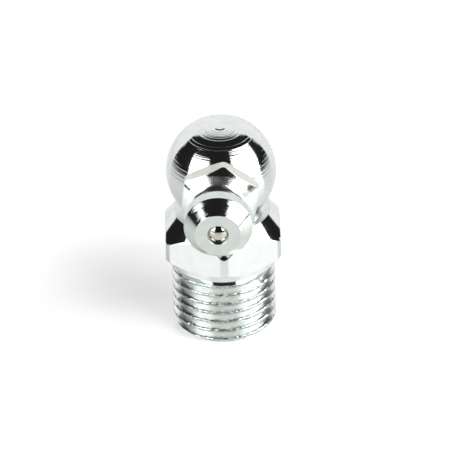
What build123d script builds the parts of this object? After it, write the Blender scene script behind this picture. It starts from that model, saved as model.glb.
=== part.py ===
from build123d import *
from math import cos, radians, sin, sqrt, tan
import os

os.makedirs("parts", exist_ok=True)

# Right-angle grease nipple with a ball elbow. All sizes are in millimetres.
# +Z runs up the thread axis from the stem's end face, and the nipple head points along -Y.

# threaded stem, an M10 x 1 thread drawn as its outer cylinder
thread_diameter = 9.85
undercut_diameter = 8.7
thread_length = 6.64        # from the end face to the last crest
thread_runout = 0.3         # height of the slope from the last crest into the undercut
undercut_length = 0.46
lead_in = 0.57              # 45 degree chamfer at the end of the stem

# hexagon, with a short round collar whose underside comes down on the machine
seat_diameter = 10.6
seat_thickness = 0.5
hexagon_flats = 11.0
hexagon_corners = 12.3      # the corners are turned off to this
underside_angle = 35.0      # slopes are measured from level
hexagon_height = 2.65       # from the round collar to where the top cone cuts the corners
cone_angle = 51.5
shoulder_diameter = 9.2
hexagon_turn = 2.8          # turn of the hexagon against the head, in degrees
cutter_margin = 1.0         # how far the cuts for flats reach past the corners

# ball elbow
ball_diameter = 10.5
neck_diameter = 7.6
neck_length = 0.64
neck_corner = 0.3           # 45 degree corner left where the neck meets the shoulder
cap_drop = 0.55             # how far the flat of the faced cap lies below the full ball
cap_flat_diameter = 2.2     # outside it the cap is faced to a shallow cone
cap_angle = 16.0            # slope of that cone from level
nib_radius = 0.55           # left where the bar was parted off
nib_top_radius = 0.3
nib_height = 0.04

# passages
passage_diameter = 3.0
passage_chamfer = 0.25
socket_diameter = 4.0       # cross bore that the head is pressed into
socket_overrun = 0.1        # how far the cross bore reaches past the passage
drill_point_angle = 118.0
spot_face_depth = 0.62      # flat on the side of the ball that the head seats on
spot_face_diameter = 6.0

# nipple head
shank_length = 2.73
shank_chamfer = 0.2
collar_thickness = 1.04     # at the corners
collar_flats = 7.0
collar_corners = 7.9
collar_seat_diameter = 6.8  # its rear face, inside the chamfered corners
collar_chamfer = 0.26
collar_front_angle = 21.0   # lean of its front, a cone from the corners into the waist
collar_turn = 7.0           # turn of the collar's hexagon, in degrees
waist_diameter = 4.7
waist_fillet = 1.0
waist_length = 3.23         # from the collar's corners to the rear edge of the head
head_back_angle = 45.0      # slope of the head's back from its axis
head_diameter = 6.5
head_band = 1.19
head_cone = 1.4             # length of the cone in front of the band
nose_diameter = 4.34
head_edge_break = 0.06

# check ball and its bore
check_ball_diameter = 2.5
check_ball_clearance = 0.1  # radial
mouth_diameter = 2.06
mouth_depth = 0.45
seat_clearance = 0.02       # between the closed ball and the edge of the mouth
lip_thickness = 0.35        # rear end of the shank, staked in to hold the spring
lip_diameter = 1.4

# check spring
wire_diameter = 0.3
coil_diameter = 1.9         # to the middle of the wire
coil_count = 5
wire_sides = 8
spring_clearance = 0.02     # at either end

thread_radius = thread_diameter / 2
undercut_radius = undercut_diameter / 2
seat_radius = seat_diameter / 2
corner_radius = hexagon_corners / 2
shoulder_radius = shoulder_diameter / 2
neck_radius = neck_diameter / 2
ball_radius = ball_diameter / 2
seat_height = thread_length + thread_runout + undercut_length
seat_top = seat_height + seat_thickness
corner_bottom = seat_top + (corner_radius - seat_radius) * tan(radians(underside_angle))
corner_top = seat_top + hexagon_height
shoulder_height = corner_top + (corner_radius - shoulder_radius) * tan(radians(cone_angle))
neck_top = shoulder_height + neck_length
ball_height = neck_top + sqrt(ball_radius**2 - neck_radius**2)  # centre of ball and cross bore

# The cone of the cap meets the ball in a crease at rim_radius. cone_tip_rise is where the cone
# would come to a point, and both rises are measured from the ball's centre.
cap_flat_radius = cap_flat_diameter / 2
cap_fall = tan(radians(cap_angle))
cap_flat_rise = ball_radius - cap_drop
cone_tip_rise = cap_flat_rise + cap_flat_radius * cap_fall
rim_reach = sqrt(ball_radius**2 * (1 + cap_fall**2) - cone_tip_rise**2)
rim_radius = (cone_tip_rise * cap_fall + rim_reach) / (1 + cap_fall**2)
rim_height = ball_height + cone_tip_rise - rim_radius * cap_fall
cap_flat_height = ball_height + cap_flat_rise
nib_top = cap_flat_height + nib_height

# Reaches are measured from the thread axis along -Y.
spot_face_reach = ball_radius - spot_face_depth
head_seat = Plane(origin=(0, -spot_face_reach, ball_height), x_dir=(1, 0, 0), z_dir=(0, -1, 0))
passage_radius = passage_diameter / 2
socket_radius = socket_diameter / 2
socket_end = passage_radius + socket_overrun
drill_point = socket_radius / tan(radians(drill_point_angle / 2))

with BuildPart() as elbow_body:
    # stem, hexagon blank, neck and ball are turned as one
    with BuildSketch(Plane.XZ):
        with BuildLine():
            Polyline(
                (0, nib_top),
                (0, 0),
                (thread_radius - lead_in, 0),
                (thread_radius, lead_in),
                (thread_radius, thread_length),
                (undercut_radius, thread_length + thread_runout),
                (undercut_radius, seat_height),
                (seat_radius, seat_height),
                (seat_radius, seat_top),
                (corner_radius, corner_bottom),
                (corner_radius, corner_top),
                (shoulder_radius, shoulder_height),
                (neck_radius + neck_corner, shoulder_height),
                (neck_radius, shoulder_height + neck_corner),
                (neck_radius, neck_top),
            )
            ThreePointArc(
                (neck_radius, neck_top),
                (ball_radius, ball_height),
                (rim_radius, rim_height),
            )
            Polyline(
                (rim_radius, rim_height),
                (cap_flat_radius, cap_flat_height),
                (nib_radius, cap_flat_height),
                (nib_top_radius, nib_top),
                (0, nib_top),
            )
        make_face()
    revolve(axis=Axis.Z)

    # six flats
    with BuildSketch(Plane.XY.offset(seat_height)):
        Circle(corner_radius + cutter_margin)
        RegularPolygon(
            hexagon_flats / 2, 6, major_radius=False, rotation=hexagon_turn - 90, mode=Mode.SUBTRACT
        )
    extrude(amount=shoulder_height - seat_height, mode=Mode.SUBTRACT)

    # spot face that the head seats on
    with BuildSketch(head_seat):
        Circle(spot_face_diameter / 2)
    extrude(amount=ball_radius, mode=Mode.SUBTRACT)

    # cross bore with its drill point, open at the spot face
    with BuildSketch(Plane.YZ):
        with BuildLine():
            Polyline(
                (-spot_face_reach, ball_height),
                (-spot_face_reach, ball_height + socket_radius),
                (socket_end, ball_height + socket_radius),
                (socket_end + drill_point, ball_height),
                close=True,
            )
        make_face()
    revolve(axis=Axis((0, 0, ball_height), (0, 1, 0)), mode=Mode.SUBTRACT)

    # grease passage from the stem's end into the cross bore
    with BuildSketch(Plane.XZ):
        with BuildLine():
            Polyline(
                (0, 0),
                (passage_radius + passage_chamfer, 0),
                (passage_radius, passage_chamfer),
                (passage_radius, ball_height),
                (0, ball_height),
                close=True,
            )
        make_face()
    revolve(axis=Axis.Z, mode=Mode.SUBTRACT)

# The head is drawn on a plane whose X is the reach along -Y and whose Y is the radius.
head_side = Plane(origin=(0, 0, ball_height), x_dir=(0, -1, 0), z_dir=(-1, 0, 0))
head_axis = Axis((0, 0, ball_height), (0, -1, 0))
shank_radius = socket_radius  # pressed in line to line
shank_rear_reach = spot_face_reach - shank_length
collar_reach = spot_face_reach + collar_thickness
collar_radius = collar_corners / 2
collar_seat_radius = collar_seat_diameter / 2
collar_lean = radians(collar_front_angle)
waist_radius = waist_diameter / 2
fillet_foot_radius = waist_radius + waist_fillet * (1 - sin(collar_lean))
fillet_foot_reach = collar_reach + (collar_radius - fillet_foot_radius) * tan(collar_lean)
fillet_end_reach = fillet_foot_reach + waist_fillet * cos(collar_lean)
head_radius = head_diameter / 2
head_back = (head_radius - waist_radius) / tan(radians(head_back_angle))
head_rear_reach = collar_reach + waist_length
nose_radius = nose_diameter / 2
nose_reach = head_rear_reach + head_band + head_cone
mouth_radius = mouth_diameter / 2
throat_reach = nose_reach - mouth_depth
check_ball_radius = check_ball_diameter / 2
bore_radius = check_ball_radius + check_ball_clearance
lip_reach = shank_rear_reach + lip_thickness
lip_radius = lip_diameter / 2

with BuildPart() as nipple_head:
    with BuildSketch(head_side):
        with BuildLine():
            rear = Polyline(
                (shank_rear_reach, lip_radius),
                (shank_rear_reach, shank_radius - shank_chamfer),
                (shank_rear_reach + shank_chamfer, shank_radius),
                (spot_face_reach, shank_radius),
                (spot_face_reach, collar_seat_radius),
                (spot_face_reach + collar_chamfer, collar_radius),
                (collar_reach, collar_radius),
                (fillet_foot_reach, fillet_foot_radius),
            )
            TangentArc(rear @ 1, (fillet_end_reach, waist_radius), tangent=rear % 1)
            Polyline(
                (fillet_end_reach, waist_radius),
                (head_rear_reach - head_back, waist_radius),
                (head_rear_reach, head_radius),
                (head_rear_reach + head_band, head_radius),
                (nose_reach, nose_radius),
                (nose_reach, mouth_radius),
                (throat_reach, mouth_radius),
                (throat_reach - (bore_radius - mouth_radius), bore_radius),
                (lip_reach, bore_radius),
                (lip_reach, lip_radius),
                (shank_rear_reach, lip_radius),
            )
        make_face()
    revolve(axis=head_axis)
    round_edges = nipple_head.edges().filter_by(GeomType.CIRCLE)
    for reach in (head_rear_reach, head_rear_reach + head_band, nose_reach):
        edges_there = round_edges.filter_by_position(
            Axis.Y, -reach - head_edge_break, -reach + head_edge_break
        )
        chamfer(edges_there.sort_by(SortBy.RADIUS)[-1], head_edge_break)

    # six flats of the collar
    with BuildSketch(head_seat):
        Circle(collar_radius + cutter_margin)
        RegularPolygon(
            collar_flats / 2, 6, major_radius=False, rotation=90 - collar_turn, mode=Mode.SUBTRACT
        )
    extrude(amount=fillet_foot_reach - spot_face_reach, mode=Mode.SUBTRACT)

# The closed ball stands just clear of the mouth's inner edge.
check_ball_reach = throat_reach - sqrt(check_ball_radius**2 - mouth_radius**2) - seat_clearance

with BuildPart() as check_ball:
    with Locations((0, -check_ball_reach, ball_height)):
        Sphere(check_ball_radius)

# The spring's ends are ground flat. It stands between the lip and the back of the ball.
# Its wire is drawn with eight sides, which keeps the coil light.
wire_radius = wire_diameter / 2
coil_radius = coil_diameter / 2
ball_back_reach = check_ball_reach - sqrt(check_ball_radius**2 - (coil_radius - wire_radius) ** 2)
spring_rear = lip_reach + spring_clearance
spring_length = ball_back_reach - spring_clearance - spring_rear
spring_base = Plane(origin=(0, -spring_rear, ball_height), x_dir=(1, 0, 0), z_dir=(0, -1, 0))

with BuildPart() as ball_spring:
    with BuildLine():
        coil = Helix(
            pitch=spring_length / coil_count,
            height=spring_length,
            radius=coil_radius,
            center=(0, -spring_rear, ball_height),
            direction=(0, -1, 0),
        )
    with BuildSketch(Plane(origin=coil @ 0, z_dir=coil % 0)):
        RegularPolygon(wire_radius, wire_sides)
    sweep(is_frenet=True)
    split(bisect_by=spring_base, keep=Keep.TOP)
    split(bisect_by=spring_base.offset(spring_length), keep=Keep.BOTTOM)

elbow_body.part.label = "elbow_body"
export_step(elbow_body.part, "parts/elbow_body.step")

nipple_head.part.label = "nipple_head"
export_step(nipple_head.part, "parts/nipple_head.step")

check_ball.part.label = "check_ball"
export_step(check_ball.part, "parts/check_ball.step")

ball_spring.part.label = "ball_spring"
export_step(ball_spring.part, "parts/ball_spring.step")
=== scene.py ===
import math
import random

import bmesh
import bpy
import numpy as np
from mathutils import Matrix, Vector


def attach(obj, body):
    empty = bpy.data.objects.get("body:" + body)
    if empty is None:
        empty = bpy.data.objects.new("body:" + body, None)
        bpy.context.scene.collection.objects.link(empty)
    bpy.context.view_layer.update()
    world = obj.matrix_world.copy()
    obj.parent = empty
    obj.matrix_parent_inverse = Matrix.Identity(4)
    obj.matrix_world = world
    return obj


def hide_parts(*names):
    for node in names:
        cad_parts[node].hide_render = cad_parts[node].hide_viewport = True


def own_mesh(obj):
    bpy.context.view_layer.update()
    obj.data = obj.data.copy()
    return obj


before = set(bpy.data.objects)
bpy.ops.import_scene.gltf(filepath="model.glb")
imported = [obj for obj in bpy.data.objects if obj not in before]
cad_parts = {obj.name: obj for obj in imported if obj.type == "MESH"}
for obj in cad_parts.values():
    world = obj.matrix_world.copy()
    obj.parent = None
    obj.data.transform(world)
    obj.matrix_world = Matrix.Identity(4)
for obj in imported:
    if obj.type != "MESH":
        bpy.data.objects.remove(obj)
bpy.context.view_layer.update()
print("frame loaded")

# Right-angle grease nipple: ball elbow on a threaded stem, with the coupler head pressed into its side.
# Lengths are in millimetres until a mesh is made, and angles in degrees. The stem stands along Z from its end
# at 0, and the head points along -Y. Faces round an axis are turned by the angle of one flat's middle.
mm = 0.001
headAxisHeight = 16.761


# shared helpers

def linearColour(hexValue):
    channels = [int(hexValue[i:i + 2], 16) / 255 for i in (0, 2, 4)]
    return (*[c / 12.92 if c <= 0.04045 else ((c + 0.055) / 1.055) ** 2.4 for c in channels], 1.0)


def addNode(tree, kind, inputs=None, **settings):
    # an input may be a plain value, a node (its first output is used) or one of a node's outputs
    node = tree.nodes.new(kind)
    for name, value in settings.items():
        setattr(node, name, value)
    for name, value in (inputs or {}).items():
        if isinstance(value, bpy.types.Node):
            tree.links.new(value.outputs[0], node.inputs[name])
        elif isinstance(value, bpy.types.NodeSocket):
            tree.links.new(value, node.inputs[name])
        else:
            node.inputs[name].default_value = value
    return node


def termInputs(values, terms):
    # sums are written as rows of a name, an operation and its terms: numbers, or names of earlier values
    return {place: values.get(term, term) for place, term in enumerate(terms)}


def slopeOf(degrees):
    return math.tan(math.radians(degrees))


# a rounded corner takes at most longestShare of each run beside it, and has a guard point on either side
cornerForm = {"arcSteps": 4, "longestShare": 0.35, "guard": 0.035, "guardShare": 0.12, "leastTangent": 0.05}


def cutCorner(before, here, after, rounding):
    # one outline corner as an arc; the guard points make the flat faces beside it shade flat
    form = cornerForm
    arms = [np.array(before) - here, np.array(after) - here]
    lengths = [max(np.linalg.norm(arm), 1e-9) for arm in arms]
    ways = [arm / length for arm, length in zip(arms, lengths)]
    half = math.acos(max(-1, min(1, float(ways[0] @ ways[1])))) / 2
    cut = min(rounding / max(math.tan(half), form["leastTangent"]),
              *[form["longestShare"] * length for length in lengths])
    ends = [here + way * cut for way in ways]
    arc = [(1 - t) ** 2 * ends[0] + 2 * t * (1 - t) * here + t ** 2 * ends[1]
           for t in np.linspace(0, 1, form["arcSteps"] + 1)]
    guards = [end + way * min(form["guard"], form["guardShare"] * length)
              for end, way, length in zip(ends, ways, lengths)]
    return [guards[0]] + arc + [guards[1]]


def roundedOutline(corners):
    # corners are (axial, radius, rounding[, rings of the run that follows]); the sizes never change how many
    # points there are, so neighbouring columns can be joined
    parts = []
    for before, corner, after in zip(corners[-1:] + corners[:-1], corners, corners[1:] + corners[:1]):
        here = np.array(corner[:2])
        parts.append([here] if corner[2] == 0 else cutCorner(before[:2], here, after[:2], corner[2]))
    points = []
    for corner, part, following in zip(corners, parts, parts[1:] + parts[:1]):
        points += part
        if len(corner) > 3:
            start, end = part[-1], following[0]
            length = np.linalg.norm(end - start)
            way = (end - start) / length
            outwards = np.array((-way[1], way[0]))
            run = ringedRun(lambda s: start + way * s * length, lambda s: outwards, corner[3], length)
            points += run[1:]
    return points


# one turning ring in section, as shares of its width and depth; it rises over the last part of its width
ringForm = ((0, 0), (0.08, 0.12), (0.4, 0.55), (0.72, 0.96), (0.78, 1), (0.84, 0.8), (0.95, 0.2))
ringRiseShare = 0.22


def ringedRun(pointAt, normalAt, rings, length):
    # turning rings: each falls gently and then rises at the angle given, back to the surface
    points = []
    for (start, rise), (end, _) in zip(rings[:-1], rings[1:]):
        width = (end - start) * length
        depth = ringRiseShare * width * slopeOf(rise)
        for share, fall in ringForm:
            s = start + (end - start) * share
            points.append(pointAt(s) - normalAt(s) * depth * fall)
    return points


def diceRings(seed, length, narrowest, widest, rises):
    # edges of rings as shares of the run, with how steeply each rises
    dice = random.Random(seed)
    edges = [0.0]
    while edges[-1] * length < length - narrowest:
        edges.append(edges[-1] + dice.uniform(narrowest, widest) / length)
    edges[-1] = 1.0
    return [(edge, dice.choice(rises)) for edge in edges]


# columns of a hexagon lie close together where a flat ends: degrees from there, towards the flat's middle
edgeColumns = (-1.2, -0.5, 0.0, 0.5, 1.2, 2.5)
flatMargin = 4.0


def hexagonAngles(turn, flats, corners, steps):
    # turn is the middle of one flat, and each flat has as many columns between its margins as steps says
    edge = math.degrees(math.acos(flats / corners))
    near = [-edge + a for a in edgeColumns]
    across = near + list(np.linspace(-edge + flatMargin, edge - flatMargin, steps))
    across += [-a for a in reversed(near)]
    across += list(np.linspace(edge - edgeColumns[0], 60 - edge + edgeColumns[0], 4)[1:-1])
    return [math.radians(turn + 60 * k + a) for k in range(6) for a in across]


def hexagonRadius(angle, turn, flats, corners):
    # distance from the axis to the flat, or to the turned corner where that is nearer
    off = math.radians((math.degrees(angle) - turn + 30) % 60 - 30)
    return min(corners / 2, flats / 2 / math.cos(off))


def flatReach(turn, across, upwards):
    # how far a point lies out along the middle of the nearest flat
    ways = [math.radians(turn + 60 * k) for k in range(6)]
    return max(across * math.cos(w) + upwards * math.sin(w) for w in ways)


def roundColumns(outline, count):
    return [(a, outline) for a in np.linspace(0, 2 * math.pi, count + 1)[:-1]]


def gridMesh(name, columns, place, closedOutline):
    # columns[j] is the outline at angle j; an outline that starts and ends on the axis gets poles there
    rows, count = len(columns[0][1]), len(columns)
    work = bmesh.new()
    grid = []
    for i in range(rows):
        if not closedOutline and i in (0, rows - 1):
            axial, radius = columns[0][1][i]
            grid.append([work.verts.new(place(axial, 0.0, 0.0))] * count)
        else:
            grid.append([work.verts.new(place(p[i][0], p[i][1], a)) for a, p in columns])
    for i in range(rows if closedOutline else rows - 1):
        k = (i + 1) % rows
        for j in range(count):
            n = (j + 1) % count
            corner = []
            for v in (grid[i][j], grid[i][n], grid[k][n], grid[k][j]):
                if v not in corner:
                    corner.append(v)
            if len(corner) > 2:
                work.faces.new(corner)
    bmesh.ops.recalc_face_normals(work, faces=work.faces)
    mesh = bpy.data.meshes.new(name)
    work.to_mesh(mesh)
    work.free()
    mesh.shade_smooth()
    return mesh


def dressFaces(mesh, materials, finishAt):
    # finishAt picks the material of the face whose middle lies at x, y, z in millimetres
    for material in materials:
        mesh.materials.append(material)
    for face in mesh.polygons:
        face.material_index = materials.index(finishAt(*(face.center / mm)))


def makeObject(name, mesh):
    piece = bpy.data.objects.new(name, mesh)
    bpy.context.scene.collection.objects.link(piece)
    return piece


def aboutStem(axial, radius, angle):
    return Vector((radius * math.cos(angle), radius * math.sin(angle), axial)) * mm


def aboutHead(reach, radius, angle):
    return Vector((radius * math.cos(angle), -reach, headAxisHeight + radius * math.sin(angle))) * mm


# materials

def startMaterial(name):
    material = bpy.data.materials.new(name)
    material.use_nodes = True
    material.node_tree.nodes.clear()
    return material, material.node_tree


# shared by every look: stains per millimetre, the ranges of noise that show as dull, as tinted or as gaps in
# the crest's painted shade, and how far from the ridge's middle, in millimetres, the crest's painted shade
# fades out
steelNoise = {"stainScale": 0.9, "dullRange": (0.35, 0.7), "tintRange": (0.4, 0.7),
              "shadeBreakRange": (0.38, 0.52), "leastShadeShare": 0.25, "crestShadeRange": (0.06, 0.13)}


def turnedSteel(name, look, aboutY=False):
    # steel with rings about the stem's axis, or about the head's, and with a fine grain and faint dull stains
    noise = steelNoise
    material, tree = startMaterial(name)
    shader = addNode(tree, "ShaderNodeBsdfPrincipled", {
        "Base Color": linearColour(look["colour"]), "Metallic": 1.0, "Roughness": look["roughness"]})
    addNode(tree, "ShaderNodeOutputMaterial", {"Surface": shader})
    where = addNode(tree, "ShaderNodeTexCoord").outputs["Object"]
    scaled = addNode(tree, "ShaderNodeVectorMath", {0: where, "Scale": 1 / mm}, operation="SCALE")
    if aboutY:
        centred = addNode(tree, "ShaderNodeVectorMath", {
            0: scaled, 1: (0, 0, headAxisHeight)}, operation="SUBTRACT")
        scaled = addNode(tree, "ShaderNodeVectorRotate", {
            "Vector": centred, "Axis": (1, 0, 0), "Angle": math.radians(90)})
    parts = addNode(tree, "ShaderNodeSeparateXYZ", {0: scaled})
    flat = addNode(tree, "ShaderNodeCombineXYZ", {"X": parts.outputs["X"], "Y": parts.outputs["Y"]})
    radius = addNode(tree, "ShaderNodeVectorMath", {0: flat}, operation="LENGTH").outputs["Value"]
    outline = addNode(tree, "ShaderNodeCombineXYZ", {"X": radius, "Y": parts.outputs["Z"]})
    rings = addNode(tree, "ShaderNodeTexNoise", {
        "Vector": outline, "Scale": 1 / look["ringWidth"], "Detail": 2.0, "Roughness": 0.6})
    grain = addNode(tree, "ShaderNodeTexNoise", {
        "Vector": scaled, "Scale": 1 / look["grainWidth"], "Detail": 3.0, "Roughness": 0.6})
    ringBump = addNode(tree, "ShaderNodeBump", {
        "Height": rings.outputs[0], "Strength": 1.0, "Distance": look["ringDepth"] * mm})
    grainBump = addNode(tree, "ShaderNodeBump", {
        "Height": grain.outputs[0], "Strength": 1.0, "Distance": look["grainDepth"] * mm,
        "Normal": ringBump})
    tree.links.new(grainBump.outputs[0], shader.inputs["Normal"])
    stain = addNode(tree, "ShaderNodeTexNoise", {
        "Vector": scaled, "Scale": noise["stainScale"], "Detail": 4.0, "Roughness": 0.55})
    dull = addNode(tree, "ShaderNodeMapRange", {
        "Value": stain.outputs[0], "From Min": noise["dullRange"][0], "From Max": noise["dullRange"][1],
        "To Min": look["roughness"], "To Max": look["dullRoughness"]})
    tree.links.new(dull.outputs[0], shader.inputs["Roughness"])
    share = addNode(tree, "ShaderNodeMapRange", {
        "Value": stain.outputs[0], "From Min": noise["tintRange"][0], "From Max": noise["tintRange"][1]})
    tint = addNode(tree, "ShaderNodeMix", {
        "Factor": share, "A": linearColour(look["colour"]), "B": linearColour(look["dullColour"])},
        data_type="RGBA")
    tree.links.new(tint.outputs["Result"], shader.inputs["Base Color"])
    if "crestShadeColour" in look:
        # painted shade: the crest's narrow top is darkened in a broken line that stands in for the shadow
        # along the thread's groove; across is measured from the ridge's middle
        across = addNode(tree, "ShaderNodeAttribute", attribute_name="across").outputs["Fac"]
        aside = addNode(tree, "ShaderNodeMath", {0: across}, operation="ABSOLUTE")
        torn = addNode(tree, "ShaderNodeMapRange", {
            "Value": grain.outputs[0], "From Min": noise["shadeBreakRange"][0], "From Max": noise["shadeBreakRange"][1],
            "To Min": noise["leastShadeShare"], "To Max": 1.0})
        crest = addNode(tree, "ShaderNodeMapRange", {
            "Value": aside, "From Min": noise["crestShadeRange"][0], "From Max": noise["crestShadeRange"][1],
            "To Min": torn, "To Max": 0.0})
        shadedCrest = addNode(tree, "ShaderNodeMix", {
            "Factor": crest, "A": tint.outputs["Result"], "B": linearColour(look["crestShadeColour"])},
            data_type="RGBA")
        tree.links.new(shadedCrest.outputs["Result"], shader.inputs["Base Color"])
    return material


# widths and depths are in millimetres; a lathe's real rings are 0.05 to 0.1 mm apart, too fine to show here,
# so they are drawn 0.12 to 0.16 mm apart

# turned on a lathe, then bright zinc plated: a mirror with faint rings, nearly white against a dark room
zincTurnedLook = {"colour": "E7EAE8", "dullColour": "DEE3E0", "roughness": 0.06, "dullRoughness": 0.10,
                  "ringWidth": 0.14, "ringDepth": 0.0035, "grainWidth": 0.25, "grainDepth": 0.0003}
# the ball was turned with a coarser feed: its rings tear the edges of the lamps' images into streaks
zincBallLook = dict(zincTurnedLook, ringWidth=0.16, ringDepth=0.022)
# the bar's drawn flats, plated but never turned: even and a little soft, without rings
zincFlatLook = dict(zincTurnedLook, colour="EBEDEC", dullColour="E6E9E7",
                    roughness=0.12, dullRoughness=0.18, ringDepth=0.0)
# the thread, cut by a die: soft greenish white flanks, with painted shade as darker broken lines along the
# crests
zincThreadLook = dict(zincTurnedLook, colour="F1F5F3", dullColour="E9EFEC", crestShadeColour="8E9A94",
                      roughness=0.20, dullRoughness=0.28, ringDepth=0.0006, grainDepth=0.0004)
# the neck and its shoulder: matt, with no clear reflections, and painted paler than the other zinc, a painted
# light that lifts the collar's shadow mirrored there
neckLook = dict(zincTurnedLook, colour="F0F3F1", roughness=0.28, dullRoughness=0.36, ringDepth=0.0)
# the nipple head, turned from another bar: slightly greyer and softer than the elbow
headTurnedLook = dict(zincTurnedLook, colour="DCE2DE", dullColour="D3DAD5",
                      roughness=0.08, dullRoughness=0.15, ringWidth=0.12, ringDepth=0.005)
# its cone, cut with a fast feed: rings deep enough to streak the dark gap between the lamps
headConeLook = dict(headTurnedLook, ringWidth=0.13, ringDepth=0.017)
# the collar's six flats, milled: satin, and warmer because they aren't buffed
headFlatLook = dict(headTurnedLook, colour="EEEDE9", dullColour="E6E4DE",
                    roughness=0.28, dullRoughness=0.36)
# the collar's front and the waist, turned roughly: blurred reflections with a grey grain
headWaistLook = dict(headTurnedLook, colour="EAEDEA", dullColour="E0E4E0",
                     roughness=0.20, dullRoughness=0.30, ringDepth=0.012)
# the check ball, ground and polished but not plated: a clear mirror of warmer, darker steel
ballLook = dict(zincTurnedLook, colour="CECBC0", dullColour="C2BFB4",
                roughness=0.08, dullRoughness=0.14, ringDepth=0.0)
# spring wire, drawn through a die: grey and satin
springLook = dict(zincTurnedLook, colour="C9C4BA", roughness=0.2, dullRoughness=0.3)

turnedZinc = turnedSteel("zincPlatedTurnedSteel", zincTurnedLook)
ballZinc = turnedSteel("zincPlatedTurnedBall", zincBallLook)
flatZinc = turnedSteel("zincPlatedDrawnFlats", zincFlatLook)
threadZinc = turnedSteel("zincPlatedThread", zincThreadLook)
neckZinc = turnedSteel("zincPlatedMattNeck", neckLook)
headTurned = turnedSteel("turnedHeadSteel", headTurnedLook, aboutY=True)
headCone = turnedSteel("turnedHeadConeSteel", headConeLook, aboutY=True)
headFlats = turnedSteel("milledCollarFlats", headFlatLook, aboutY=True)
headWaist = turnedSteel("roughTurnedWaistSteel", headWaistLook, aboutY=True)
ballSteel = turnedSteel("groundBallSteel", ballLook, aboutY=True)
springSteel = turnedSteel("drawnSpringWire", springLook, aboutY=True)
print("materials made")


# elbow: stem core, hexagon, neck and ball are one turned outline, with six flats

elbow = {
    "passageRadius": 1.5, "passageChamfer": 0.25, "stemRadius": 4.35,
    "seatRadius": 5.3, "seatHeight": 7.4, "seatTop": 7.9, "undersideAngle": 35.0,
    "flats": 11.0, "corners": 12.3, "flatTurn": -57.2, "flatColumns": 22, "cornerTop": 10.55,
    "coneAngle": 51.5, "dipReach": 0.22,  # the cone's edge dips to a point within this of each corner
    "shoulderRadius": 4.6, "shoulderHeight": 12.4986, "neckRadius": 3.8, "neckCorner": 0.3,
    "neckTop": 13.139, "neckGap": 0.05, "ballRadius": 5.25, "rimRadius": 3.3236, "rimHeight": 20.825,
    "ringSeed": 4, "ringWidths": (0.16, 0.46), "ringRises": (3.0, 5.0, 6.0, 8.0, 10.0),
    "nibFoot": 0.55, "nibFootHeight": 21.462, "nibRadius": 0.44, "nibTop": 21.501,
    "nibEdge": 0.05, "nibEdgeDrop": 0.004, "nibHollow": 0.2, "nibHollowDrop": 0.006,
    "fineEdge": 0.03, "undercutEdge": 0.08, "seatEdge": 0.04, "seatTopEdge": 0.06, "flatEdge": 0.15,
    "coneEdge": 0.32, "shoulderEdge": 0.05, "neckEdge": 0.12, "sharpAngle": 28.0,
}
# where the ball meets the faced cap and the neck, as angles down from its top
rimLean = math.asin(elbow["rimRadius"] / elbow["ballRadius"])
neckLean = math.pi - math.asin(elbow["neckRadius"] / elbow["ballRadius"])

# the top was faced off in steps: radius and height of each step's edge, from the rim inwards
facedSteps = [(3.27, 20.885), (3.21, 20.890), (2.96, 21.058), (2.90, 21.066), (2.60, 21.205), (2.38, 21.262),
              (2.18, 21.300), (2.12, 21.303), (1.80, 21.352), (1.56, 21.375), (1.50, 21.376), (1.46, 21.396),
              (1.25, 21.410), (1.21, 21.418), (0.95, 21.430), (0.91, 21.438), (0.62, 21.458)]
# shares of the run before and after each edge that get a point, closest at the edge so that it looks crisp
sharesBefore = (0.12, 0.04)
sharesAfter = (0.04, 0.12, 0.3, 0.5, 0.7)


def ballNormal(lean):
    return np.array((math.cos(lean), math.sin(lean)))


def ballCurve():
    # from the neck up to the rim, and then in to the pole
    sweep = neckLean - rimLean
    length = sweep * elbow["ballRadius"]
    rings = diceRings(elbow["ringSeed"], length, *elbow["ringWidths"], elbow["ringRises"])
    centre = np.array((headAxisHeight, 0.0))
    points = ringedRun(lambda s: centre + elbow["ballRadius"] * ballNormal(neckLean - sweep * s),
                       lambda s: ballNormal(neckLean - sweep * s), rings, length)
    points.append(np.array((elbow["rimHeight"], elbow["rimRadius"])))
    steps = [(elbow["rimRadius"], elbow["rimHeight"]), *facedSteps,
             (elbow["nibFoot"], elbow["nibFootHeight"])]
    for (before, low), (radius, height), (after, high) in zip(steps, steps[1:], steps[2:]):
        for share in sharesBefore:
            points.append(np.array((height + (low - height) * share, radius + (before - radius) * share)))
        for share in sharesAfter:
            points.append(np.array((height + (high - height) * share, radius + (after - radius) * share)))
    # the nib that parting off left, with a hollow in its top
    hollowHeight = elbow["nibTop"] - elbow["nibHollowDrop"]
    for radius, height in (
        (elbow["nibFoot"], elbow["nibFootHeight"]),
        (elbow["nibRadius"], elbow["nibTop"] - elbow["nibEdgeDrop"]),
        (elbow["nibRadius"] - elbow["nibEdge"], elbow["nibTop"]),
        (elbow["nibHollow"], hollowHeight),
        (0, hollowHeight),
    ):
        points.append(np.array((height, radius)))
    return points


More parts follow.
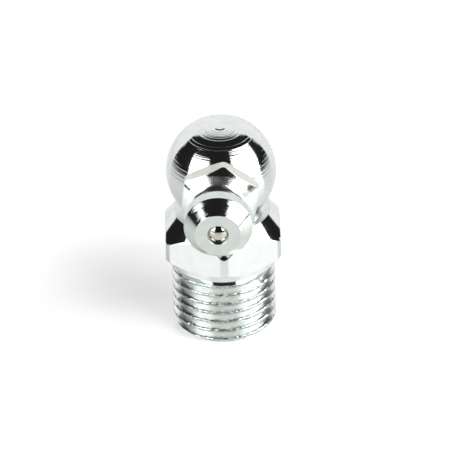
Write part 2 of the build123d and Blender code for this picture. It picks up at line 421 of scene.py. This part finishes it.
def elbowOutline(flatRadius, ballPart):
    # flatRadius is how far the flat lies from the axis here; the cone's edge dips to a point at each corner
    under = slopeOf(elbow["undersideAngle"])
    cone = slopeOf(elbow["coneAngle"])
    cornerRadius = min(flatRadius, elbow["corners"] / 2)
    edgeHeight = elbow["cornerTop"] + (elbow["corners"] / 2 - cornerRadius) * cone
    dip = (flatRadius - cornerRadius) * cone
    undersideTop = elbow["seatTop"] + (cornerRadius - elbow["seatRadius"]) * under
    return roundedOutline([
        (headAxisHeight, 0, 0),
        (headAxisHeight, elbow["passageRadius"], 0),
        (elbow["passageChamfer"], elbow["passageRadius"], elbow["fineEdge"]),
        (0, elbow["passageRadius"] + elbow["passageChamfer"], elbow["fineEdge"]),
        (0, elbow["stemRadius"], elbow["fineEdge"]),
        (elbow["seatHeight"], elbow["stemRadius"], elbow["undercutEdge"]),
        (elbow["seatHeight"], elbow["seatRadius"], elbow["seatEdge"]),
        (elbow["seatTop"], elbow["seatRadius"], elbow["seatTopEdge"]),
        (undersideTop, cornerRadius, elbow["flatEdge"]),
        (edgeHeight - dip, cornerRadius, elbow["coneEdge"]),
        (edgeHeight + elbow["dipReach"] * cone, cornerRadius - elbow["dipReach"], 0),
        (elbow["shoulderHeight"], elbow["shoulderRadius"], elbow["shoulderEdge"]),
        (elbow["shoulderHeight"], elbow["neckRadius"] + elbow["neckCorner"], elbow["neckEdge"]),
        (elbow["shoulderHeight"] + elbow["neckCorner"], elbow["neckRadius"], elbow["neckEdge"]),
        (elbow["neckTop"] - elbow["neckGap"], elbow["neckRadius"], 0),
    ]) + ballPart


# where each finish of the elbow ends, as distances in from the edges and as radii
elbowFinish = {"flatFoot": 0.1, "flatDepth": 0.004, "cornerMargin": 0.02, "neckBelow": 0.03,
               "neckAbove": 0.31, "neckInside": 2.0, "ballFoot": 0.02, "ballInside": 1.6}


def elbowFinishAt(x, y, z):
    finish = elbowFinish
    radius = math.hypot(x, y)
    if (elbow["seatTop"] + finish["flatFoot"] < z < elbow["shoulderHeight"]
            and radius < elbow["corners"] / 2 - finish["cornerMargin"]
            and flatReach(elbow["flatTurn"], x, y) > elbow["flats"] / 2 - finish["flatDepth"]):
        return flatZinc
    if (-finish["neckBelow"] < z - elbow["shoulderHeight"] < finish["neckAbove"]
            and radius > finish["neckInside"]):
        return neckZinc
    if z > elbow["neckTop"] + finish["ballFoot"] and radius > finish["ballInside"]:
        return ballZinc
    return turnedZinc


ballPart = ballCurve()
elbowAngles = hexagonAngles(elbow["flatTurn"], elbow["flats"], elbow["corners"], elbow["flatColumns"])
elbowColumns = [(a, elbowOutline(hexagonRadius(a, elbow["flatTurn"], elbow["flats"], math.inf), ballPart))
                for a in elbowAngles]
elbowMesh = gridMesh("elbow", elbowColumns, aboutStem, False)
dressFaces(elbowMesh, [turnedZinc, flatZinc, neckZinc, ballZinc], elbowFinishAt)
elbowPiece = makeObject("elbow", elbowMesh)
print("elbow turned:", len(elbowMesh.polygons), "faces")

# one tool cuts the cross bore and the spot face that the head seats on; reaches are out from the stem's axis
socket = {"toolReach": 8.0, "spotFaceReach": 4.63, "spotFaceRadius": 3.0, "boreRadius": 2.0,
          "boreEnd": -1.6, "drillPoint": 118.0, "sides": 96}
drillTip = socket["boreEnd"] - socket["boreRadius"] / math.tan(math.radians(socket["drillPoint"] / 2))
toolOutline = [(socket["toolReach"], 0.0),
               (socket["toolReach"], socket["spotFaceRadius"]),
               (socket["spotFaceReach"], socket["spotFaceRadius"]),
               (socket["spotFaceReach"], socket["boreRadius"]),
               (socket["boreEnd"], socket["boreRadius"]),
               (drillTip, 0.0)]
toolMesh = gridMesh("socketTool", roundColumns(toolOutline, socket["sides"]), aboutHead, False)
tool = makeObject("socketTool", toolMesh)
boolean = elbowPiece.modifiers.new("socket", "BOOLEAN")
boolean.operation, boolean.solver, boolean.object = "DIFFERENCE", "EXACT", tool
evaluated = elbowPiece.evaluated_get(bpy.context.evaluated_depsgraph_get())
boredMesh = bpy.data.meshes.new_from_object(evaluated)
elbowPiece.modifiers.clear()
elbowPiece.data = boredMesh
bpy.data.objects.remove(tool)
boredMesh.set_sharp_from_angle(angle=math.radians(elbow["sharpAngle"]))
print("socket bored:", len(boredMesh.polygons), "faces")


# thread, one long ridge wound round the stem by Geometry Nodes

thread = {
    "pitch": 1.0, "turns": 8.6, "start": -1.20, "rootRadius": 4.32, "crestRadius": 4.925,
    "crestWidth": 0.24, "crestEdge": 0.06, "flankSlope": 1.632, "ridgeWidth": 1.08,
    "stepsPerTurn": 300, "formPoints": 35,
    "stemEndRadius": 4.352, "stemEnd": 0.01, "threadTop": 6.64, "runoutSlope": 1.9167,
    "waver": 0.006, "waverScale": 0.8,
    "burrSize": 0.22, "burrShift": 0.08, "burrHeight": 0.11, "burrWidth": 0.05, "burrSpread": 3.0,
    "nickAngle": -38.0, "nickSpread": 9.0, "nickDepth": 0.10, "nickScale": 2.2, "nickReach": 0.5,
    "rimMargin": 0.001, "rimReach": 0.002,
}
runoutMargin = 0.02  # from here above the thread's top, the run-out is bright turned metal
wound = {"seamDistance": 1e-7, "sharpAngle": 40.0}  # how thread and spring are finished


def newTree(name, sizes):
    # every size becomes a named input of the tree
    tree = bpy.data.node_groups.new(name, "GeometryNodeTree")
    tree.interface.new_socket(name="Geometry", in_out="OUTPUT", socket_type="NodeSocketGeometry")
    for size in sizes:
        tree.interface.new_socket(name=size, in_out="INPUT", socket_type="NodeSocketFloat")
    return tree, addNode(tree, "NodeGroupInput").outputs


def threadTree():
    tree, given = newTree("woundThread", thread)
    values = {name: given[name] for name in thread}
    values["across"] = addNode(tree, "GeometryNodeInputNamedAttribute", {
        "Name": "across"}, data_type="FLOAT")
    for name, operation, *terms in (
        ("climb", "MULTIPLY", "pitch", "turns"),
        ("halfWidth", "MULTIPLY", "ridgeWidth", 0.5),
        ("farEdge", "MULTIPLY", "halfWidth", -1.0),
        ("crestHalf", "MULTIPLY", "crestWidth", 0.5),
        ("aside", "ABSOLUTE", "across"),
        ("burrScale", "DIVIDE", 1.0, "burrSize"),
    ):
        values[name] = addNode(tree, "ShaderNodeMath", termInputs(values, terms), operation=operation)
    spiral = addNode(tree, "GeometryNodeCurveSpiral", {
        "Resolution": given["stepsPerTurn"], "Rotations": given["turns"], "Start Radius": given["rootRadius"],
        "End Radius": given["rootRadius"], "Height": values["climb"], "Reverse": True})
    lift = addNode(tree, "ShaderNodeCombineXYZ", {"Z": given["start"]})
    placed = addNode(tree, "GeometryNodeTransform", {"Geometry": spiral, "Translation": lift})
    upright = addNode(tree, "GeometryNodeSetCurveNormal", {"Curve": placed}, mode="Z_UP")
    # the ridge starts as a flat strip that remembers how far each point lies from its middle
    line = addNode(tree, "GeometryNodeCurvePrimitiveLine", {
        "Start": addNode(tree, "ShaderNodeCombineXYZ", {"Y": values["farEdge"]}),
        "End": addNode(tree, "ShaderNodeCombineXYZ", {"Y": values["halfWidth"]})})
    dense = addNode(tree, "GeometryNodeResampleCurve", {"Curve": line, "Count": given["formPoints"]})
    here = addNode(tree, "GeometryNodeInputPosition")
    parts = addNode(tree, "ShaderNodeSeparateXYZ", {0: here})
    section = addNode(tree, "GeometryNodeStoreNamedAttribute", {
        "Geometry": dense, "Name": "across", "Value": parts.outputs["Y"]}, data_type="FLOAT", domain="POINT")
    closed = addNode(tree, "GeometryNodeSetSplineCyclic", {"Geometry": section, "Cyclic": True})
    strip = addNode(tree, "GeometryNodeCurveToMesh", {
        "Curve": upright, "Profile Curve": closed, "Fill Caps": True})
    # what the die tore: the crest's edges wander and carry burrs, and nicks lie in a row where its jaws met
    flat = addNode(tree, "ShaderNodeCombineXYZ", {"X": parts.outputs["X"], "Y": parts.outputs["Y"]})
    radius = addNode(tree, "ShaderNodeVectorMath", {0: flat}, operation="LENGTH")
    torn = addNode(tree, "ShaderNodeTexNoise", {"Vector": here, "Scale": values["burrScale"], "Detail": 2.0})
    tornParts = addNode(tree, "ShaderNodeSeparateXYZ", {0: torn.outputs["Color"]})
    nicks = addNode(tree, "ShaderNodeTexVoronoi", {"Vector": here, "Scale": given["nickScale"]})
    waves = addNode(tree, "ShaderNodeTexNoise", {"Vector": here, "Scale": given["waverScale"], "Detail": 3.0})
    fade = addNode(tree, "ShaderNodeMapRange", {
        "Value": values["aside"], "From Min": values["crestHalf"], "From Max": given["crestWidth"],
        "To Min": 1.0, "To Max": 0.0})
    values.update({
        "x": parts.outputs["X"], "y": parts.outputs["Y"], "z": parts.outputs["Z"],
        "radius": radius.outputs["Value"], "waves": waves, "fade": fade,
        "tornAcross": tornParts.outputs["X"], "tornUp": tornParts.outputs["Y"],
        "nickDistance": nicks.outputs["Distance"]})
    for name, operation, *terms in (
        # beyond is how far a point lies past the crest's wandering edge
        ("wander", "SUBTRACT", "tornAcross", 0.5),
        ("wander", "MULTIPLY", "wander", "fade"),
        ("wander", "MULTIPLY", "wander", "burrShift"),
        ("beyond", "ADD", "across", "wander"),
        ("beyond", "ABSOLUTE", "beyond"),
        ("beyond", "SUBTRACT", "beyond", "crestHalf"),
        # the burr stands on that edge
        ("near", "ABSOLUTE", "beyond"),
        ("near", "DIVIDE", "near", "burrWidth"),
        ("near", "SUBTRACT", 1.0, "near"),
        ("near", "MAXIMUM", "near", 0.0),
        ("near", "MULTIPLY", "near", "burrHeight"),
        ("burr", "SUBTRACT", "tornUp", 0.5),
        ("burr", "MULTIPLY", "burr", "burrSpread"),
        ("burr", "MULTIPLY", "near", "burr"),
        # the row of nicks, from the angle round the stem
        ("row", "ARCTAN2", "y", "x"),
        ("row", "MULTIPLY", "row", 180 / math.pi),
        ("row", "SUBTRACT", "row", "nickAngle"),
        ("row", "DIVIDE", "row", "nickSpread"),
        ("row", "MULTIPLY", "row", "row"),
        ("row", "SUBTRACT", 1.0, "row"),
        ("row", "MAXIMUM", "row", 0.0),
        ("nick", "SUBTRACT", "nickReach", "nickDistance"),
        ("nick", "MAXIMUM", "nick", 0.0),
        ("nick", "MULTIPLY", "nick", "row"),
        ("nick", "MULTIPLY", "nick", "nickDepth"),
        # how far the surface falls below the crest, and the radius that leaves
        ("wave", "MULTIPLY", "waves", "waver"),
        ("fall", "SMOOTH_MAX", "beyond", 0.0, "crestEdge"),
        ("fall", "MULTIPLY", "fall", "flankSlope"),
        ("fall", "ADD", "fall", "nick"),
        ("fall", "ADD", "fall", "wave"),
        ("form", "SUBTRACT", "crestRadius", "fall"),
        ("form", "ADD", "form", "burr"),
        ("form", "MINIMUM", "form", "crestRadius"),
        ("form", "MAXIMUM", "form", "rootRadius"),
        # the strip's two long edges lie at the root, in the stem's core
        ("rim", "SUBTRACT", "halfWidth", "rimMargin"),
        ("rim", "COMPARE", "aside", "rim", "rimReach"),
        ("sink", "SUBTRACT", "rootRadius", "form"),
        ("form", "MULTIPLY_ADD", "sink", "rim", "form"),
        # the lead-in and the run-out are turned across the ridge, and it stays above the stem's end
        ("height", "MAXIMUM", "z", "stemEnd"),
        ("leadIn", "ADD", "stemEndRadius", "height"),
        ("runout", "SUBTRACT", "height", "threadTop"),
        ("runout", "MULTIPLY", "runout", "runoutSlope"),
        ("runout", "SUBTRACT", "crestRadius", "runout"),
        ("limit", "MINIMUM", "leadIn", "runout"),
        ("form", "MINIMUM", "form", "limit"),
        ("stretch", "DIVIDE", "form", "radius"),
    ):
        values[name] = addNode(tree, "ShaderNodeMath", termInputs(values, terms), operation=operation)
    drawn = addNode(tree, "ShaderNodeVectorMath", {0: flat, "Scale": values["stretch"]}, operation="SCALE")
    upwards = addNode(tree, "ShaderNodeCombineXYZ", {"Z": values["height"]})
    moved = addNode(tree, "ShaderNodeVectorMath", {0: drawn, 1: upwards}, operation="ADD")
    ridge = addNode(tree, "GeometryNodeSetPosition", {"Geometry": strip, "Position": moved})
    metres = addNode(tree, "GeometryNodeTransform", {"Geometry": ridge, "Scale": (mm, mm, mm)})
    real = addNode(tree, "GeometryNodeRealizeInstances", {"Geometry": metres})
    dressed = addNode(tree, "GeometryNodeSetMaterial", {"Geometry": real, "Material": threadZinc})
    addNode(tree, "NodeGroupOutput", {"Geometry": dressed})
    return tree


def woundPiece(name, tree, sizes):
    # the modifier's result becomes a plain mesh with its seams merged and its normals outwards
    holder = makeObject(name, bpy.data.meshes.new(name))
    modifier = holder.modifiers.new("wound", "NODES")
    modifier.node_group = tree
    for socket in tree.interface.items_tree:
        if socket.in_out == "INPUT":
            modifier[socket.identifier] = float(sizes[socket.name])
    evaluated = holder.evaluated_get(bpy.context.evaluated_depsgraph_get())
    mesh = bpy.data.meshes.new_from_object(evaluated)
    holder.modifiers.clear()
    work = bmesh.new()
    work.from_mesh(mesh)
    bmesh.ops.remove_doubles(work, verts=work.verts, dist=wound["seamDistance"])
    bmesh.ops.recalc_face_normals(work, faces=work.faces)
    work.to_mesh(mesh)
    work.free()
    mesh.shade_smooth()
    mesh.set_sharp_from_angle(angle=math.radians(wound["sharpAngle"]))
    holder.data = mesh
    return holder


threadPiece = woundPiece("stemThread", threadTree(), thread)
threadPiece.data.materials.append(turnedZinc)
for face in threadPiece.data.polygons:
    if face.center.z / mm > thread["threadTop"] + runoutMargin:
        face.material_index = 1
print("thread wound:", len(threadPiece.data.polygons), "faces")


# nipple head, turned and then given six flats on its collar; reaches are out from the stem's axis

head = {
    "rear": 1.9, "lipThickness": 0.35, "lipRadius": 0.7, "shankRadius": 2.0, "shankChamfer": 0.2,
    "seatReach": 4.63, "collarSeatRadius": 3.4, "collarChamfer": 25.3, "collarReach": 5.82,
    "collarLean": 35.0, "flats": 7.0, "corners": 7.9, "flatTurn": 113.0, "flatColumns": 18,
    "waistRadius": 2.35, "waistFillet": 0.8, "filletSteps": 12,
    "headRear": 8.9, "headBack": 0.9, "headRadius": 3.25,
    "band": 1.19, "cone": 1.4, "noseRadius": 2.17, "mouthRadius": 1.03, "mouthDepth": 0.45,
    "lipDepth": 0.26, "lipOpening": 0.90, "boreRadius": 1.35,
    "fineEdge": 0.03, "collarEdge": 0.04, "backEdge": 0.12, "bandEdge": 0.06, "noseEdge": 0.07,
    "openingEdge": 0.01, "throatEdge": 0.02, "leastChamfer": 0.02, "sharpAngle": 28.0,
}
# the tool's rings on each run: seed, length of the run, narrowest, widest, and the angles at which they rise
coneRings = diceRings(9, 1.77, 0.07, 0.22, (4.0, 6.0, 9.0, 12.0))
bandRings = diceRings(5, 1.1, 0.15, 0.35, (1.0, 2.0, 3.0))
collarRings = diceRings(7, 0.95, 0.12, 0.3, (1.0, 2.0, 3.0))
waistRings = diceRings(8, 1.2, 0.15, 0.3, (4.0, 6.0, 8.0))
noseRings = diceRings(3, 1.05, 0.12, 0.3, (1.0, 2.0, 3.0))


def headOutline(collarRadius):
    # from the staked lip at the rear, round the outside to the mouth, and back through the bore
    chamfer = max(head["leastChamfer"],
                  (collarRadius - head["collarSeatRadius"]) * slopeOf(head["collarChamfer"]))
    lean = math.radians(head["collarLean"])
    footRadius = head["waistRadius"] + head["waistFillet"] * (1 - math.sin(lean))
    footReach = head["collarReach"] + (head["corners"] / 2 - footRadius) * math.tan(lean)
    edgeReach = footReach - (collarRadius - footRadius) * math.tan(lean)
    run = head["waistFillet"] * math.cos(lean)
    fillet = []
    for t in np.linspace(0, 1, head["filletSteps"] + 1)[1:-1]:
        a = (math.pi / 2 - lean) * (1 - t)
        fillet.append((footReach + run - head["waistFillet"] * math.sin(a),
                       head["waistRadius"] + head["waistFillet"] * (1 - math.cos(a)), 0))
    bandFront = head["headRear"] + head["band"]
    nose = bandFront + head["cone"]
    throat = nose - head["mouthDepth"]
    lipFront = head["rear"] + head["lipThickness"]
    fine = head["fineEdge"]
    return roundedOutline([
        (lipFront, head["lipRadius"], fine),
        (head["rear"], head["lipRadius"], fine),
        (head["rear"], head["shankRadius"] - head["shankChamfer"], fine),
        (head["rear"] + head["shankChamfer"], head["shankRadius"], fine),
        (head["seatReach"], head["shankRadius"], fine),
        (head["seatReach"], head["collarSeatRadius"], fine),
        (head["seatReach"] + chamfer, collarRadius, head["collarEdge"]),
        (edgeReach, collarRadius, head["collarEdge"], collarRings),
        (footReach, footRadius, 0),
    ] + fillet + [
        (footReach + run, head["waistRadius"], 0, waistRings),
        (head["headRear"] - head["headBack"], head["waistRadius"], head["backEdge"]),
        (head["headRear"], head["headRadius"], head["bandEdge"], bandRings),
        (bandFront, head["headRadius"], head["bandEdge"], coneRings),
        (nose, head["noseRadius"], head["noseEdge"], noseRings),
        (nose, head["mouthRadius"], fine),
        (nose - head["lipDepth"], head["lipOpening"], head["openingEdge"]),
        (throat, head["mouthRadius"], head["throatEdge"]),
        (throat - (head["boreRadius"] - head["mouthRadius"]), head["boreRadius"], fine),
        (lipFront, head["boreRadius"], fine),
    ])


# where each finish of the head ends, as distances in from the edges and as radii
headFinish = {"flatFoot": 0.02, "flatTop": 0.40, "flatDepth": 0.004, "cornerMargin": 0.01,
              "waistFoot": 0.02, "waistInside": 2.2, "coneMargin": 0.03}


def headFinishAt(x, y, z):
    finish = headFinish
    reach, height = -y, z - headAxisHeight
    radius = math.hypot(x, height)
    if (head["seatReach"] + finish["flatFoot"] < reach < head["collarReach"] + finish["flatTop"]
            and radius < head["corners"] / 2 - finish["cornerMargin"]
            and flatReach(head["flatTurn"], x, height) > head["flats"] / 2 - finish["flatDepth"]):
        return headFlats
    if (head["collarReach"] + finish["waistFoot"] < reach < head["headRear"] - head["headBack"]
            and finish["waistInside"] < radius < head["headRadius"]):
        return headWaist
    if (reach > head["headRear"] + head["band"] + finish["coneMargin"]
            and radius > head["noseRadius"] + finish["coneMargin"]):
        return headCone
    return headTurned


headAngles = hexagonAngles(head["flatTurn"], head["flats"], head["corners"], head["flatColumns"])
headColumns = [(a, headOutline(hexagonRadius(a, head["flatTurn"], head["flats"], head["corners"])))
               for a in headAngles]
headMesh = gridMesh("nippleHead", headColumns, aboutHead, True)
dressFaces(headMesh, [headTurned, headFlats, headWaist, headCone], headFinishAt)
headMesh.set_sharp_from_angle(angle=math.radians(head["sharpAngle"]))
headPiece = makeObject("nippleHead", headMesh)
print("head turned:", len(headMesh.polygons), "faces")


# check ball and the spring behind it

checkBall = {"radius": 1.25, "reach": 10.3121, "rows": 72, "columns": 96}
ballOutline = [(checkBall["reach"] + checkBall["radius"] * math.cos(math.pi * i / checkBall["rows"]),
                checkBall["radius"] * math.sin(math.pi * i / checkBall["rows"]))
               for i in range(checkBall["rows"] + 1)]
ballMesh = gridMesh("checkBall", roundColumns(ballOutline, checkBall["columns"]), aboutHead, False)
ballMesh.materials.append(ballSteel)
ballPiece = makeObject("checkBall", ballMesh)

spring = {"wireRadius": 0.15, "coilRadius": 0.95, "coils": 5.0, "rear": 2.27, "length": 7.061,
          "stepsPerTurn": 48.0, "wireSides": 14.0}


def springTree():
    tree, given = newTree("woundSpring", spring)
    coil = addNode(tree, "GeometryNodeCurveSpiral", {
        "Resolution": given["stepsPerTurn"], "Rotations": given["coils"], "Start Radius": given["coilRadius"],
        "End Radius": given["coilRadius"], "Height": given["length"]})
    wire = addNode(tree, "GeometryNodeCurvePrimitiveCircle", {
        "Resolution": given["wireSides"], "Radius": given["wireRadius"]})
    solid = addNode(tree, "GeometryNodeCurveToMesh", {
        "Curve": coil, "Profile Curve": wire, "Fill Caps": True})
    # both ends are ground flat
    parts = addNode(tree, "ShaderNodeSeparateXYZ", {0: addNode(tree, "GeometryNodeInputPosition")})
    flat = addNode(tree, "ShaderNodeClamp", {
        "Value": parts.outputs["Z"], "Min": 0.0, "Max": given["length"]})
    cut = addNode(tree, "ShaderNodeCombineXYZ", {
        "X": parts.outputs["X"], "Y": parts.outputs["Y"], "Z": flat})
    ground = addNode(tree, "GeometryNodeSetPosition", {"Geometry": solid, "Position": cut})
    # the coil is laid along the head's axis and brought to metres
    metres = addNode(tree, "GeometryNodeTransform", {"Geometry": ground, "Scale": (mm, mm, mm)})
    back = addNode(tree, "ShaderNodeMath", {0: given["rear"], 1: -mm}, operation="MULTIPLY")
    place = addNode(tree, "ShaderNodeCombineXYZ", {"Y": back, "Z": headAxisHeight * mm})
    laid = addNode(tree, "GeometryNodeTransform", {
        "Geometry": metres, "Translation": place, "Rotation": (math.radians(90), 0, 0)})
    real = addNode(tree, "GeometryNodeRealizeInstances", {"Geometry": laid})
    dressed = addNode(tree, "GeometryNodeSetMaterial", {"Geometry": real, "Material": springSteel})
    addNode(tree, "NodeGroupOutput", {"Geometry": dressed})
    return tree


springPiece = woundPiece("checkSpring", springTree(), spring)
print("ball and spring made")


# floor, world, lamps and camera, in metres

studio = {
    "floorColour": "F4F5F4", "floorRoughness": 0.08, "floorIor": 1.4,
    "floorSide": 0.26, "floorDepth": 0.3, "floorHeight": -2e-5,
    "nearGlow": 0.11, "farGlow": 0.27, "shadowSpot": (-0.008, 0.009, 0.0), "glowRange": (0.003, 0.010),
    "backdropLeft": 1.65, "backdropRight": 1.3, "backdropTop": 0.88, "backdropEdge": 0.02,
    "roomStrength": 0.015, "worldFill": 0.38,
    "lampDistance": 0.5, "target": (0, 0, 0.010),
}

# white laminate, pressed against a polished plate: it has a soft gloss and faintly mirrors the stem
side, depth, level = studio["floorSide"], studio["floorDepth"], studio["floorHeight"]
floorMesh = bpy.data.meshes.new("floor")
floorCorners = [(-side, -depth, level), (side, -depth, level), (side, depth, level), (-side, depth, level)]
floorMesh.from_pydata(floorCorners, [], [(0, 1, 2, 3)])
floor = makeObject("floor", floorMesh)
floorLaminate, floorTree = startMaterial("whiteLaminate")
laminate = addNode(floorTree, "ShaderNodeBsdfPrincipled", {
    "Base Color": linearColour(studio["floorColour"]), "Roughness": studio["floorRoughness"],
    "IOR": studio["floorIor"]})
# the camera sees the floor lighter than it is lit, and least so behind to the left, where the shadow lies
spot = addNode(floorTree, "ShaderNodeTexCoord").outputs["Object"]
fromShadow = addNode(floorTree, "ShaderNodeVectorMath", {
    0: spot, 1: studio["shadowSpot"]}, operation="DISTANCE")
lift = addNode(floorTree, "ShaderNodeMapRange", {
    "Value": fromShadow.outputs["Value"],
    "From Min": studio["glowRange"][0], "From Max": studio["glowRange"][1],
    "To Min": studio["nearGlow"], "To Max": studio["farGlow"]})
floorPath = addNode(floorTree, "ShaderNodeLightPath")
cameraLift = addNode(floorTree, "ShaderNodeMath", {
    0: floorPath.outputs["Is Camera Ray"], 1: lift}, operation="MULTIPLY")
glow = addNode(floorTree, "ShaderNodeEmission", {"Color": (1, 1, 1, 1), "Strength": cameraLift})
lit = addNode(floorTree, "ShaderNodeAddShader", {0: laminate, 1: glow})
addNode(floorTree, "ShaderNodeOutputMaterial", {"Surface": lit})
floorMesh.materials.append(floorLaminate)

# a white paper wall stands behind, and past its sides and its top the room is dark
world = bpy.data.worlds.new("studio")
bpy.context.scene.world = world
world.use_nodes = True
sky = world.node_tree
sky.nodes.clear()
way = addNode(sky, "ShaderNodeSeparateXYZ", {0: addNode(sky, "ShaderNodeTexCoord").outputs["Generated"]})
skyValues = {"x": way.outputs["X"], "y": way.outputs["Y"], "z": way.outputs["Z"]}
for name, operation, *terms in (
    ("above", "MULTIPLY_ADD", "y", -studio["backdropTop"], "z"),
    ("rightOf", "MULTIPLY_ADD", "y", -studio["backdropRight"], "x"),
    ("leftOf", "MULTIPLY", "x", -1.0),
    ("leftOf", "MULTIPLY_ADD", "y", -studio["backdropLeft"], "leftOf"),
    ("outside", "MAXIMUM", "rightOf", "leftOf"),
    ("outside", "MAXIMUM", "above", "outside"),
):
    skyValues[name] = addNode(sky, "ShaderNodeMath", termInputs(skyValues, terms), operation=operation)
backdrop = addNode(sky, "ShaderNodeMapRange", {
    "Value": skyValues["outside"], "From Min": -studio["backdropEdge"], "From Max": studio["backdropEdge"],
    "To Min": 1.0, "To Max": studio["roomStrength"]})
# the camera sees white all round, and matt surfaces get one even fill
skyPath = addNode(sky, "ShaderNodeLightPath")
seen = addNode(sky, "ShaderNodeMath", {
    0: skyPath.outputs["Is Camera Ray"], 1: backdrop}, operation="MAXIMUM")
strength = addNode(sky, "ShaderNodeMix", {
    "Factor": skyPath.outputs["Is Diffuse Ray"], "A": seen, "B": studio["worldFill"]}, data_type="FLOAT")
background = addNode(sky, "ShaderNodeBackground", {"Color": (1, 1, 1, 1), "Strength": strength})
addNode(sky, "ShaderNodeOutputWorld", {"Surface": background})

# two softboxes, turned a little about the way they face, are what the ball mirrors as two bright windows
softboxes = {
    "keySoftbox": {"direction": (0.816, -0.346, 0.464), "size": (0.538, 0.419), "turn": -13.1, "watts": 3.1},
    "fillSoftbox": {"direction": (-0.72, -0.57, 0.37), "size": (0.38, 0.345), "turn": 8.8, "watts": 1.4},
}
target = Vector(studio["target"])
for name, box in softboxes.items():
    light = bpy.data.lights.new(name, "AREA")
    light.shape, light.energy = "RECTANGLE", box["watts"]
    light.size, light.size_y = box["size"]
    lamp = bpy.data.objects.new(name, light)
    bpy.context.scene.collection.objects.link(lamp)
    facing = Vector(box["direction"]).normalized()
    lamp.location = target + facing * studio["lampDistance"]
    across = Vector((0, 0, 1)).cross(facing).normalized()
    upwards = facing.cross(across)
    spin = math.radians(box["turn"])
    wide = across * math.cos(spin) + upwards * math.sin(spin)
    lamp.rotation_euler = Matrix((wide, facing.cross(wide), facing)).transposed().to_euler()
    lamp.visible_camera = False

view = {"elevation": 33.0, "azimuth": 2.2, "roll": 1.54, "distance": 0.6, "lens": 502.7,
        "shift": (0.236, 0.376),  # in millimetres across and up
        "sensorWidth": 36, "clip": (0.05, 20)}
elevation, azimuth, roll = [math.radians(view[name]) for name in ("elevation", "azimuth", "roll")]
towards = Vector((math.sin(azimuth) * math.cos(elevation), -math.cos(azimuth) * math.cos(elevation),
                  math.sin(elevation)))
levelWay = Vector((math.cos(azimuth), math.sin(azimuth), 0))
steepWay = towards.cross(levelWay)
aim = target + levelWay * view["shift"][0] * mm + steepWay * view["shift"][1] * mm
cameraRight = levelWay * math.cos(roll) - steepWay * math.sin(roll)
cameraUp = levelWay * math.sin(roll) + steepWay * math.cos(roll)
cameraData = bpy.data.cameras.new("camera")
cameraData.sensor_width = view["sensorWidth"]
cameraData.lens = view["lens"]
cameraData.clip_start, cameraData.clip_end = view["clip"]
camera = bpy.data.objects.new("camera", cameraData)
bpy.context.scene.collection.objects.link(camera)
cameraTurn = Matrix((cameraRight, cameraUp, towards)).transposed().to_4x4()
camera.matrix_world = Matrix.Translation(aim + towards * view["distance"]) @ cameraTurn
bpy.context.scene.camera = camera
bpy.context.scene.view_settings.view_transform = "Standard"
print("studio set up")

for piece, body, slotName, nodes in (
    (elbowPiece, "fitting", "zinc_plated_steel", ["elbow_body"]),
    (threadPiece, "fitting", "zinc_plated_steel", ["elbow_body"]),
    (headPiece, "fitting", "head_steel", ["nipple_head"]),
    (springPiece, "fitting", "spring_wire", ["ball_spring"]),
    (ballPiece, "check_ball", "ball_steel", ["check_ball"]),
):
    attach(piece, body)
    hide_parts(*nodes)
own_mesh(springPiece)

print("pieces placed")
